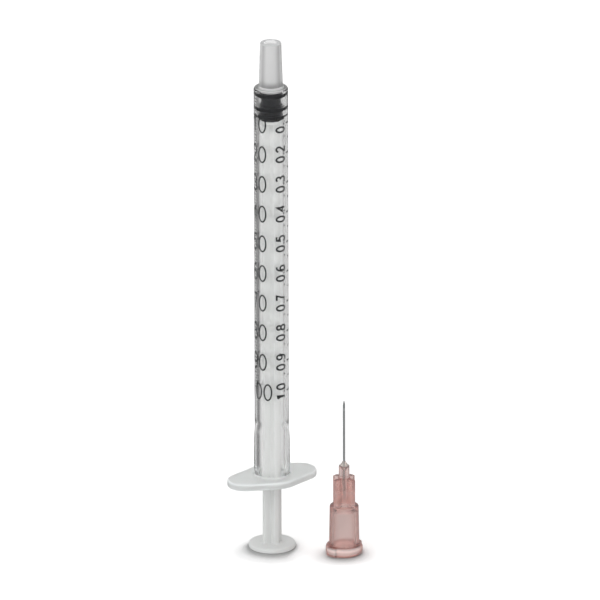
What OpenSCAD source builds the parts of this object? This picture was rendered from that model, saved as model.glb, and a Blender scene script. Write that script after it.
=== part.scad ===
// One-millilitre syringe with a slip tip, standing on its thumb rest with the plunger fully in,
// and its separate needle standing beside it on the base of its hub.
// The origin is the centre of the thumb rest's underside, and +Z runs up the barrel to the tip.

/* [Barrel] */
// Diameter of the barrel's bore
bore_d = 4.66; // [4.2:0.02:6]
// Wall of the barrel around its bore
barrel_wall = 0.87; // [0.75:0.01:1.2]
// Length from the finger flange's underside to the shoulder
barrel_l = 77.9; // [70:0.25:90]
// Thickness of the barrel's front wall, behind the tip
front_wall_t = 0.65; // [0.6:0.05:1.2]
// Radius of the rounded shoulder
shoulder_round = 0.45; // [0.2:0.05:0.6]
// Length that the scale covers, from its zero line to its full line
scale_l = 58.6; // [50:0.1:62]

/* [Collar] */
// Extra wall of the thicker collar at the finger flange
collar_step = 0.17; // [0.1:0.01:0.4]
// Length of the collar above the flange's top face
collar_l = 7.2; // [5:0.1:9]
// Length over which the collar narrows to the barrel
flare_l = 2.3; // [1.5:0.1:3]
// Diameter of the wider bore inside the collar
collar_bore_d = 4.8; // [4.8:0.02:6.2]
// Width of the sloped lead-in at the rear opening
lead_in = 0.3; // [0.1:0.05:0.4]
// Travel of the plunger past the full line, up to the ridge that keeps the stopper in
reserve_l = 2; // [1:0.1:3]
// Height of that ridge inside the bore
ridge_h = 0.12; // [0.06:0.01:0.14]
// Radius of the ridge's rounded section
ridge_round = 0.4; // [0.3:0.05:0.6]

/* [Finger flange] */
// Length of the finger flange, tip to tip
flange_l = 18.1; // [16:0.1:24]
// Width of the finger flange, across the barrel
flange_w = 10.6; // [9.4:0.1:13]
// Radius of the flange's rounded ends
flange_end_r = 3.3; // [2.2:0.1:4]
// Thickness of the finger flange
flange_t = 1.4; // [0.9:0.05:1.8]
// Radius of the flange's rounded edges
flange_round = 0.35; // [0.15:0.05:0.4]
// Radius of the fillet between flange and collar
flange_fillet = 0.4; // [0.2:0.05:0.8]

/* [Slip tip] */
// Diameter of the conical tip at its end
tip_end_d = 3.97; // [3.9:0.01:4.03]
// Length of the conical tip
tip_l = 8.7; // [8:0.1:10]
// Change in diameter of a conical fitting for each unit of length
luer_taper = 0.06; // [0.05:0.01:0.07]
// Radius of the rounded rim at the tip's end
tip_round = 0.2; // [0.1:0.05:0.35]
// Radius of the fillet between tip and shoulder
tip_fillet = 0.35; // [0.2:0.05:0.5]
// Diameter of the fluid channel through the tip
channel_d = 1.6; // [1.2:0.1:2]
// Diameter of the sloped mouth of the channel
mouth_d = 2.3; // [2.1:0.1:2.8]
// Depth of the sloped mouth
mouth_depth = 0.4; // [0.2:0.05:0.8]

/* [Stopper] */
// Gap between the stopper's ribs and the bore
rib_gap = 0.03; // [0.02:0.01:0.05]
// Gap between the stopper's face and the barrel's end with the plunger fully in
seat_gap = 0.05; // [0.03:0.01:0.1]
// Height of the cone on the stopper's face and inside the barrel's end
face_cone_h = 0.3; // [0.15:0.05:0.4]
// Height of the front sealing rib
front_rib_h = 1.15; // [0.9:0.05:1.5]
// Height of the waist behind the front rib
waist_h = 1.5; // [1:0.1:2.2]
// Depth of the waist below the ribs
waist_depth = 0.4; // [0.2:0.05:0.5]
// Height of the second rib
middle_rib_h = 1.2; // [0.9:0.05:1.5]
// Height of the groove between the second and the last rib
groove_h = 0.4; // [0.3:0.05:0.7]
// Height of the last rib
rear_rib_h = 0.9; // [0.7:0.05:1.2]
// Height of the narrower tail behind the last rib
tail_h = 0.4; // [0.3:0.05:0.8]
// Depth of the tail below the ribs
tail_depth = 0.25; // [0.1:0.05:0.5]
// Radius of the ribs' rounded edges
rib_round = 0.3; // [0.1:0.05:0.33]

/* [Plunger rod] */
// Diameter of the thumb rest
thumb_d = 8.75; // [8:0.25:14]
// Thickness of the thumb rest
thumb_t = 0.95; // [0.8:0.05:1.6]
// Radius of the thumb rest's rounded edge
thumb_round = 0.3; // [0.1:0.05:0.35]
// Space for the fingers between thumb rest and flange with the plunger fully in
finger_gap = 12.1; // [8:0.1:16]
// Gap between the tips of the rod's ribs and the bore
rod_gap = 0.53; // [0.35:0.01:0.6]
// Thickness of each rib of the cross-shaped rod
rod_rib_t = 1; // [0.7:0.05:1.2]
// Radius of the fillet at the foot of the rod
rod_fillet = 0.3; // [0.15:0.05:0.5]
// Thickness of the disc that pushes the stopper
disc_t = 0.7; // [0.5:0.05:1.2]
// Gap between the disc's rim and the bore
disc_gap = 0.28; // [0.2:0.01:0.35]
// Diameter of the neck inside the stopper
neck_d = 1.8; // [1.4:0.1:2]
// Length of the neck
neck_l = 1.2; // [1:0.1:1.6]
// Diameter of the barbed head inside the stopper
head_d = 2.8; // [2.4:0.1:2.9]
// Length of the barbed head
head_l = 1.5; // [1.2:0.1:1.8]
// Gap between the head and neck and the stopper's hollow
head_gap = 0.03; // [0.02:0.01:0.06]

/* [Needle hub] */
// Diameter of the conical socket at its mouth
socket_d = 4.28; // [4.2:0.01:4.4]
// Depth of the conical socket
socket_l = 8.2; // [7.5:0.1:9]
// Wall of the hub's body around the socket's mouth
hub_wall = 0.72; // [0.6:0.01:0.9]
// Amount by which the hub's body narrows from its flange to its shoulder
hub_draft = 0.3; // [0.1:0.05:0.5]
// Height of the hub's shoulder above its base
hub_body_h = 9.4; // [9.3:0.1:11]
// Diameter of the hub's round flange
hub_flange_d = 6.95; // [6.6:0.05:7.4]
// Distance across the two locking lugs
lug_across = 7.8; // [7.5:0.05:8]
// Width of each locking lug
lug_w = 2.2; // [1.8:0.1:3]
// Height of the hub's flange and lugs
hub_flange_t = 1.8; // [1.4:0.1:2.4]
// Radius of the flange's rounded edges
hub_flange_round = 0.6; // [0.3:0.05:0.65]
// Radius of the rounded edge of the shoulder
hub_round = 0.2; // [0.1:0.05:0.4]
// Distance across each pair of fins
fin_across = 4.9; // [4.2:0.1:5]
// Thickness of the fins
fin_t = 0.9; // [0.6:0.05:1.1]
// Height of the fins above the shoulder
fin_h = 5.5; // [4:0.1:7]
// Radius of the fins' rounded top corners
fin_round = 0.35; // [0.15:0.05:0.6]
// Diameter of the post that carries the fins
post_d = 2.3; // [2.2:0.05:2.6]
// Diameter of the nose above the fins
nose_d = 2; // [1.9:0.05:2.1]
// Length of the nose
nose_l = 2.4; // [1.8:0.1:3.5]
// Diameter of the narrow chamber above the socket
chamber_d = 1.6; // [1.2:0.05:1.7]
// Height of the narrow chamber's end above the hub's shoulder
chamber_h = 1.4; // [1:0.1:2]
// Diameter of the adhesive well at the top of the nose
well_d = 1.4; // [1.1:0.05:1.5]
// Depth of the adhesive well
well_depth = 0.9; // [0.6:0.05:1.4]
// Height of the cured adhesive above the nose
bead_h = 0.9; // [0.5:0.05:1.2]

/* [Cannula] */
// Outer diameter of the steel tube
cannula_d = 0.46; // [0.4:0.01:0.6]
// Inner diameter of the steel tube
lumen_d = 0.26; // [0.2:0.01:0.34]
// Length of the tube that stands out of the hub's nose
cannula_out = 12.9; // [10:0.1:25]
// Length of the tube that reaches into the narrow chamber
cannula_in = 0.3; // [0.1:0.1:0.6]
// Gap between the tube and its hole in the hub
cannula_gap = 0.02; // [0.01:0.01:0.05]
// Angle of the main grind to the tube's axis
bevel_angle = 12.5; // [10:0.5:18]
// Angle of the two side grinds to the tube's axis
side_angle = 19; // [18:0.5:24]
// Turn of each side grind about the tube's axis
side_turn = 34; // [25:1:40]

/* [Needle place] */
// Distance of the needle to the right of the syringe's axis
needle_x = 10.15; // [9:0.05:20]
// Distance of the needle in front of the syringe's axis
needle_front = 9.4; // [8:0.1:20]
// Turn of the hub's fins from the length of the finger flange
fin_turn = 18; // [0:1:45]
// Turn of the bevel's open side from the length of the finger flange
bevel_turn = -119; // [-180:1:180]

/* [Hidden] */
$fn = 64;
// Overrun of every cut past the face that it leaves
cut = 1;

bore_r = bore_d / 2;
barrel_r = bore_r + barrel_wall;
collar_r = barrel_r + collar_step;
collar_bore_r = collar_bore_d / 2;
flange_z = thumb_t + finger_gap;
flange_top_z = flange_z + flange_t;
collar_top_z = flange_top_z + collar_l;
flare_top_z = collar_top_z + flare_l;
shoulder_z = flange_z + barrel_l;
bore_end_z = shoulder_z - front_wall_t;
tip_z = shoulder_z + tip_l;
tip_end_r = tip_end_d / 2;
tip_base_r = tip_end_r + luer_taper * (tip_l - tip_round) / 2;
channel_r = channel_d / 2;

rib_r = bore_r - rib_gap;
stopper_face_z = bore_end_z - seat_gap;
front_rib_z = stopper_face_z - front_rib_h;
middle_rib_z = front_rib_z - waist_h - middle_rib_h;
rear_rib_z = middle_rib_z - groove_h - rear_rib_h;
stopper_z = rear_rib_z - tail_h;

thumb_r = thumb_d / 2;
rod_r = bore_r - rod_gap;
disc_r = bore_r - disc_gap;
disc_z = stopper_z - disc_t;
neck_r = neck_d / 2;
head_r = head_d / 2;
head_z = stopper_z + neck_l;

// The last rib stops just above the ridge when the plunger is fully out
ridge_z = rear_rib_z - scale_l - reserve_l - ridge_round;

socket_r = socket_d / 2;
socket_end_r = socket_r - luer_taper * socket_l / 2;
hub_foot_r = socket_r + hub_wall;
hub_top_r = hub_foot_r - hub_draft / 2;
fin_top_z = hub_body_h + fin_h;
nose_z = fin_top_z + nose_l;
chamber_r = chamber_d / 2;
chamber_z = hub_body_h + chamber_h;
cannula_r = cannula_d / 2;
hole_r = cannula_r + cannula_gap;
cannula_tip_z = nose_z + cannula_out;
cannula_z = chamber_z - cannula_in;

// Flat block from the axis out to a radius, between two heights, for a turned profile
module band(r, low, high) {
    translate([0, low])
        square([r, high - low]);
}

// The same with a sloping outer side
module sloped_band(low_r, low, high_r, high) {
    polygon([[0, low], [low_r, low], [high_r, high], [0, high]]);
}

// Band whose two outer corners are rounded
module round_band(r, low, high, corner) {
    band(r - corner, low, high);
    band(r, low + corner, high - corner);
    for (z = [low + corner, high - corner])
        translate([r - corner, z])
            circle(corner);
}

// Band with only its upper outer corner rounded
module crowned_band(r, low, high, corner) {
    band(r, low, high - corner);
    band(r - corner, low, high);
    translate([r - corner, high - corner])
        circle(corner);
}

// Concave fillet that stands on a level face around a post
module fillet_band(r, low, fillet) {
    difference() {
        band(r + fillet, low, low + fillet);
        translate([r + fillet, low + fillet])
            circle(fillet);
    }
}

// Half outline of the barrel, its collar and its tip
module barrel_outline() {
    band(collar_r, flange_z, collar_top_z);
    fillet_band(collar_r, flange_top_z, flange_fillet);
    sloped_band(collar_r, collar_top_z, barrel_r, flare_top_z);
    crowned_band(barrel_r, flare_top_z, shoulder_z, shoulder_round);
    fillet_band(tip_base_r, shoulder_z, tip_fillet);
    sloped_band(tip_base_r, shoulder_z, tip_end_r, tip_z - tip_round);
    crowned_band(tip_end_r, shoulder_z, tip_z, tip_round);
}

// Half outline of everything that is hollow inside the barrel
module bore_outline() {
    difference() {
        union() {
            band(collar_bore_r, flange_z - cut, ridge_z);
            band(bore_r, ridge_z, bore_end_z);
        }
        translate([bore_r - ridge_h + ridge_round, ridge_z])
            circle(ridge_round);
    }
    sloped_band(collar_bore_r + lead_in, flange_z, collar_bore_r, flange_z + lead_in);
    sloped_band(bore_r, bore_end_z, channel_r, bore_end_z + face_cone_h);
    band(channel_r, bore_end_z, tip_z + cut);
    sloped_band(channel_r, tip_z - mouth_depth, mouth_d / 2, tip_z);
}

// Rounded disc of the flange
module flange_disc(r) {
    rotate_extrude()
        round_band(r, 0, flange_t, flange_round);
}

// Finger flange: a middle disc and two end discs, joined by bars along their common tangents
module finger_flange() {
    middle_r = flange_w / 2;
    end_x = flange_l / 2 - flange_end_r;
    tangent = acos((middle_r - flange_end_r) / end_x);
    flange_disc(middle_r);
    for (side = [0, 1])
        mirror([side, 0, 0]) {
            translate([end_x, 0, 0])
                flange_disc(flange_end_r);
            for (edge = [0, 1])
                mirror([0, edge, 0])
                    rotate([0, 0, tangent])
                        rotate([90, 0, 0])
                            linear_extrude(end_x * sin(tangent))
                                round_band(middle_r, 0, flange_t, flange_round);
        }
}

module barrel() {
    color([0.86, 0.89, 0.9, 0.4])
        difference() {
            union() {
                rotate_extrude()
                    barrel_outline();
                translate([0, 0, flange_z])
                    finger_flange();
            }
            rotate_extrude()
                bore_outline();
        }
}

// Neck and barbed head that hold the stopper, grown by a gap for the hollow that takes them
module head_outline(gap) {
    band(neck_r + gap, disc_z, head_z + gap);
    sloped_band(head_r + gap, head_z - gap, neck_r + gap, head_z + head_l + gap);
}

module plunger_rod() {
    color([0.93, 0.94, 0.94]) {
        rotate_extrude()
            round_band(thumb_r, 0, thumb_t, thumb_round);
        for (turn = [0, 90])
            rotate([0, 0, turn])
                rod_web();
        rotate_extrude()
            band(disc_r, disc_z, stopper_z);
        rotate_extrude()
            head_outline(0);
    }
}

// One of the two crossing webs of the rod, with fillets at its foot
module rod_web() {
    rotate([90, 0, 0])
        translate([0, 0, -rod_rib_t / 2])
            linear_extrude(rod_rib_t)
                for (side = [0, 1])
                    mirror([side, 0, 0]) {
                        band(rod_r, 0, stopper_z);
                        fillet_band(rod_r, thumb_t, rod_fillet);
                    }
}

// Half outline of the stopper: cone, front rib, waist, two more ribs and tail
module stopper_outline() {
    sloped_band(rib_r - rib_round, stopper_face_z, channel_r, stopper_face_z + face_cone_h);
    round_band(rib_r, front_rib_z, stopper_face_z, rib_round);
    band(rib_r - waist_depth, rear_rib_z, stopper_face_z);
    band(rib_r - tail_depth, stopper_z, rear_rib_z + rib_round);
    round_band(rib_r, middle_rib_z, middle_rib_z + middle_rib_h, rib_round);
    round_band(rib_r, rear_rib_z, rear_rib_z + rear_rib_h, rib_round);
}

module stopper() {
    color([0.13, 0.13, 0.15])
        difference() {
            rotate_extrude()
                stopper_outline();
            rotate_extrude()
                head_outline(head_gap);
        }
}

// Half outline of the hub's turned body: foot, cone, shoulder, post and nose
module hub_outline() {
    round_band(hub_flange_d / 2, 0, hub_flange_t, hub_flange_round);
    sloped_band(hub_foot_r, 0, hub_top_r, hub_body_h - hub_round);
    crowned_band(hub_top_r, hub_flange_t, hub_body_h, hub_round);
    band(post_d / 2, 0, fin_top_z);
    band(nose_d / 2, 0, nose_z);
}

// Half outline of the socket, the chamber, the cannula's hole and the adhesive well
module socket_outline() {
    band(socket_r, -cut, 0);
    sloped_band(socket_r, 0, socket_end_r, socket_l);
    sloped_band(socket_end_r, socket_l, chamber_r, hub_body_h);
    band(chamber_r, socket_l, chamber_z);
    band(hole_r, socket_l, nose_z + cut);
    well_outline();
}

module well_outline() {
    sloped_band(hole_r, nose_z - well_depth, well_d / 2, nose_z);
}

// One pair of opposite fins
module fin_pair() {
    rotate([90, 0, 0])
        translate([0, 0, -fin_t / 2])
            linear_extrude(fin_t)
                for (side = [0, 1])
                    mirror([side, 0, 0])
                        crowned_band(fin_across / 2, hub_body_h - hub_round, fin_top_z, fin_round);
}

// The two lugs that a threaded collar would take hold of
module lugs() {
    intersection() {
        rotate_extrude()
            round_band(lug_across / 2, 0, hub_flange_t, hub_flange_round);
        translate([-lug_across / 2, -lug_w / 2, 0])
            cube([lug_across, lug_w, hub_flange_t]);
    }
}

// Moves what stands on the needle's own axis to the needle's place
module at_needle() {
    translate([needle_x, -needle_front, 0])
        children();
}

module needle_hub() {
    color([0.76, 0.58, 0.53, 0.85])
        at_needle()
            difference() {
                union() {
                    rotate_extrude()
                        hub_outline();
                    rotate([0, 0, fin_turn]) {
                        lugs();
                        fin_pair();
                        rotate([0, 0, 90])
                            fin_pair();
                    }
                }
                rotate_extrude()
                    socket_outline();
            }
}

// Half space in front of a plane that slopes down from the tube's pointed side
module grind(angle, turn) {
    size = cannula_out;
    rotate([0, 0, turn])
        translate([0, cannula_r, cannula_tip_z])
            rotate([-angle, 0, 0])
                translate([-size / 2, -size, -size / 2])
                    cube([size, size, size]);
}

module cannula() {
    color([0.74, 0.75, 0.77])
        at_needle()
            rotate([0, 0, bevel_turn + 90])
                difference() {
                    translate([0, 0, cannula_z])
                        cylinder(h = cannula_tip_z - cannula_z, r = cannula_r);
                    translate([0, 0, cannula_z - cut])
                        cylinder(h = cannula_tip_z - cannula_z + 2 * cut, r = lumen_d / 2);
                    grind(bevel_angle, 0);
                    for (turn = [-side_turn, side_turn])
                        grind(side_angle, turn);
                }
}

// Cured adhesive: it fills the well and stands in a cone around the tube
module adhesive() {
    color([0.85, 0.82, 0.78, 0.6])
        at_needle()
            difference() {
                rotate_extrude() {
                    well_outline();
                    sloped_band(nose_d / 2, nose_z, hole_r, nose_z + bead_h);
                }
                translate([0, 0, nose_z - well_depth - cut])
                    cylinder(h = well_depth + bead_h + 2 * cut, r = cannula_r);
            }
}

barrel();
plunger_rod();
stopper();
needle_hub();
cannula();
adhesive();
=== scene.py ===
import math

import bmesh
import bpy
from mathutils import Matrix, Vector


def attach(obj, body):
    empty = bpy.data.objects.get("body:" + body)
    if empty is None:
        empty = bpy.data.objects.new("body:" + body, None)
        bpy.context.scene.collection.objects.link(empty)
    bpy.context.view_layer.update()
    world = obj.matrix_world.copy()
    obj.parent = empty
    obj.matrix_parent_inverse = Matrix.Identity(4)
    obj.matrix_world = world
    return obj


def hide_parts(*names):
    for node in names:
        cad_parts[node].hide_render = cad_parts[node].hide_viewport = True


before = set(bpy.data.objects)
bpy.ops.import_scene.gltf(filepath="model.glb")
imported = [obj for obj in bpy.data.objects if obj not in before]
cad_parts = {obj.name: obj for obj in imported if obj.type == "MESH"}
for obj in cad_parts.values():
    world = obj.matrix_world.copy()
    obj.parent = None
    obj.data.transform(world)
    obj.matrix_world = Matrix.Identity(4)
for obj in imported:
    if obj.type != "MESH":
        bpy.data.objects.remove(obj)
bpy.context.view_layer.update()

scene = bpy.context.scene
mm = 0.001  # every size below is in millimetres, as in the part's source

print("stage: frame loaded")

# The camera: seen from the front left, a little above
cameraSet = {
    "azimuth": -29.0,
    "elevation": 20.0,
    "roll": 0.15,  # the tops lean to the left by this
    "pxPerMm": 5.38,  # in the plane through the object's middle
    "originPx": (272.1, 547.0),  # where the thumb rest's centre falls in the frame
    "framePx": 600,
    "middleZ": 50.0,
    "distance": 4500.0,  # a very long lens, so there is next to no perspective
    "sensor": 36.0,
    "clip": (0.01, 20),
}


def cameraAxes(azimuth, elevation):
    a, e = math.radians(azimuth), math.radians(elevation)
    right = Vector((math.cos(a), math.sin(a), 0))
    back = Vector((math.sin(a) * math.cos(e), -math.cos(a) * math.cos(e), math.sin(e)))
    return right, back.cross(right), back


def makeCamera(s):
    right, up, back = cameraAxes(s["azimuth"], s["elevation"])
    t = math.radians(s["roll"])
    camRight = right * math.cos(t) - up * math.sin(t)
    camUp = right * math.sin(t) + up * math.cos(t)
    half = s["framePx"] / 2
    toRight = (half - s["originPx"][0]) / s["pxPerMm"]
    toUp = (s["originPx"][1] - half) / s["pxPerMm"]
    place = camRight * toRight + camUp * toUp + back * (s["distance"] + s["middleZ"] * back.z)
    data = bpy.data.cameras.new("studioCamera")
    data.sensor_width = s["sensor"]
    data.lens = s["sensor"] * s["distance"] * s["pxPerMm"] / s["framePx"]
    data.clip_start, data.clip_end = s["clip"]
    camera = bpy.data.objects.new("studioCamera", data)
    scene.collection.objects.link(camera)
    for i, axis in enumerate((camRight, camUp, back)):
        for j in range(3):
            camera.matrix_world[j][i] = axis[j]
    camera.matrix_world.translation = place * mm
    scene.camera = camera


makeCamera(cameraSet)
# direction from the barrel's axis to the camera, seen from above
viewAngle = math.radians(cameraSet["azimuth"] - 90)

print("stage: camera")


# Node helpers, for the materials, the surround and the graduation lines
def addNode(tree, kind, **settings):
    node = tree.nodes.new(kind)
    for name, value in settings.items():
        setattr(node, name, value)
    return node


def feed(tree, socket, value):
    if isinstance(value, bpy.types.NodeSocket):
        tree.links.new(value, socket)
    else:
        socket.default_value = value


def mathNode(tree, operation, *values):
    node = addNode(tree, "ShaderNodeMath", operation=operation)
    for socket, value in zip(node.inputs, values):
        feed(tree, socket, value)
    return node.outputs[0]


def vectorValue(tree, operation, *values):
    node = addNode(tree, "ShaderNodeVectorMath", operation=operation)
    for socket, value in zip(node.inputs, values):
        feed(tree, socket, value)
    return node.outputs["Value"]


def joinVector(tree, *values):
    node = addNode(tree, "ShaderNodeCombineXYZ")
    for socket, value in zip(node.inputs, values):
        feed(tree, socket, value)
    return node.outputs[0]


def splitVector(tree, source):
    node = addNode(tree, "ShaderNodeSeparateXYZ")
    tree.links.new(source, node.inputs[0])
    return node.outputs


def mapRange(tree, source, fromLow, fromHigh, toLow=0.0, toHigh=1.0, curve="SMOOTHSTEP"):
    node = addNode(tree, "ShaderNodeMapRange", interpolation_type=curve)
    node.inputs["From Min"].default_value = fromLow
    node.inputs["From Max"].default_value = fromHigh
    node.inputs["To Min"].default_value = toLow
    node.inputs["To Max"].default_value = toHigh
    tree.links.new(source, node.inputs["Value"])
    return node.outputs["Result"]


def mixColours(tree, share, first, second):
    node = addNode(tree, "ShaderNodeMix", data_type="RGBA")
    for name, value in (("Factor", share), ("A", first), ("B", second)):
        feed(tree, node.inputs[name], (*value, 1) if isinstance(value, tuple) else value)
    return node.outputs["Result"]


def objectCoords(tree):
    return addNode(tree, "ShaderNodeTexCoord").outputs["Object"]


def noiseOn(tree, scale, detail, stretch=(1, 1, 1)):
    mapping = addNode(tree, "ShaderNodeMapping")
    mapping.inputs["Scale"].default_value = stretch
    tree.links.new(objectCoords(tree), mapping.inputs["Vector"])
    noise = addNode(tree, "ShaderNodeTexNoise")
    noise.inputs["Scale"].default_value = scale
    noise.inputs["Detail"].default_value = detail
    tree.links.new(mapping.outputs["Vector"], noise.inputs["Vector"])
    return noise.outputs["Fac"]


def noiseBetween(tree, low, high, *noise):
    spare = (high - low) / 2  # low and high stand for a noise of 0.25 and 0.75
    return mapRange(tree, noiseOn(tree, *noise), 0, 1, low - spare, high + spare, "LINEAR")


def heightFade(tree, stops):
    low, high = stops[0][0], stops[-1][0]
    bands = addNode(tree, "ShaderNodeValToRGB")
    ramp = bands.color_ramp
    ramp.interpolation = "EASE"
    for z, level in stops[1:-1]:
        ramp.elements.new((z - low) / (high - low))
    for stop, (z, level) in zip(ramp.elements, stops):
        stop.color = (level, level, level, 1)
    height = splitVector(tree, objectCoords(tree))["Z"]
    tree.links.new(mapRange(tree, height, low * mm, high * mm, curve="LINEAR"), bands.inputs["Fac"])
    return bands.outputs["Color"]


def facingBands(tree, stops):
    bands = addNode(tree, "ShaderNodeValToRGB")
    for place, level in stops:
        stop = bands.color_ramp.elements.new(place)
        stop.color = (level, level, level, 1)
    bands.color_ramp.elements.remove(bands.color_ramp.elements[0])
    tree.links.new(addNode(tree, "ShaderNodeLayerWeight").outputs["Facing"], bands.inputs["Fac"])
    return bands.outputs["Color"]


def lookColour(tree, s):
    if "bands" in s:
        colour = facingBands(tree, s["bands"])
        if "dimAt" in s:
            dim = addNode(tree, "ShaderNodeVectorMath", operation="SCALE")
            tree.links.new(colour, dim.inputs[0])
            tree.links.new(heightFade(tree, s["dimAt"]), dim.inputs["Scale"])
            colour = dim.outputs["Vector"]
        return colour
    if "facing" in s:
        facing = addNode(tree, "ShaderNodeLayerWeight").outputs["Facing"]
        share = mapRange(tree, facing, *s["facing"])
    else:
        share = noiseBetween(tree, 0, 1, *s["grain"])
    if "edgeAt" in s:
        share = mathNode(tree, "MULTIPLY", share, heightFade(tree, s["edgeAt"]))
    first, second = s["colours"]
    if "deepAt" in s:
        first = mixColours(tree, heightFade(tree, s["deepAt"]), first, s["deep"])
    return mixColours(tree, share, first, second)


def makeLook(name, s):
    mat = bpy.data.materials.new(name)
    mat.use_nodes = True
    tree = mat.node_tree
    bsdf = tree.nodes["Principled BSDF"]
    for socket, value in s["sockets"].items():
        bsdf.inputs[socket].default_value = value
    if "clearAt" in s:
        tree.links.new(heightFade(tree, s["clearAt"]), bsdf.inputs["Transmission Weight"])
    tree.links.new(lookColour(tree, s), bsdf.inputs["Base Color"])
    tree.links.new(noiseBetween(tree, *s["rough"]), bsdf.inputs["Roughness"])
    if "bump" in s:
        distance, *noise = s["bump"]
        bump = addNode(tree, "ShaderNodeBump")
        bump.inputs["Distance"].default_value = distance
        bump.inputs["Strength"].default_value = 1.0
        tree.links.new(noiseOn(tree, *noise), bump.inputs["Height"])
        tree.links.new(bump.outputs["Normal"], bsdf.inputs["Normal"])
    if "depth" in s:
        depth = addNode(tree, "ShaderNodeVolumeAbsorption")
        depth.inputs["Color"].default_value, depth.inputs["Density"].default_value = s["depth"]
        tree.links.new(depth.outputs[0], tree.nodes["Material Output"].inputs["Volume"])
    return mat


def greyTint(level):
    return (level, level, level, 1)


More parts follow.
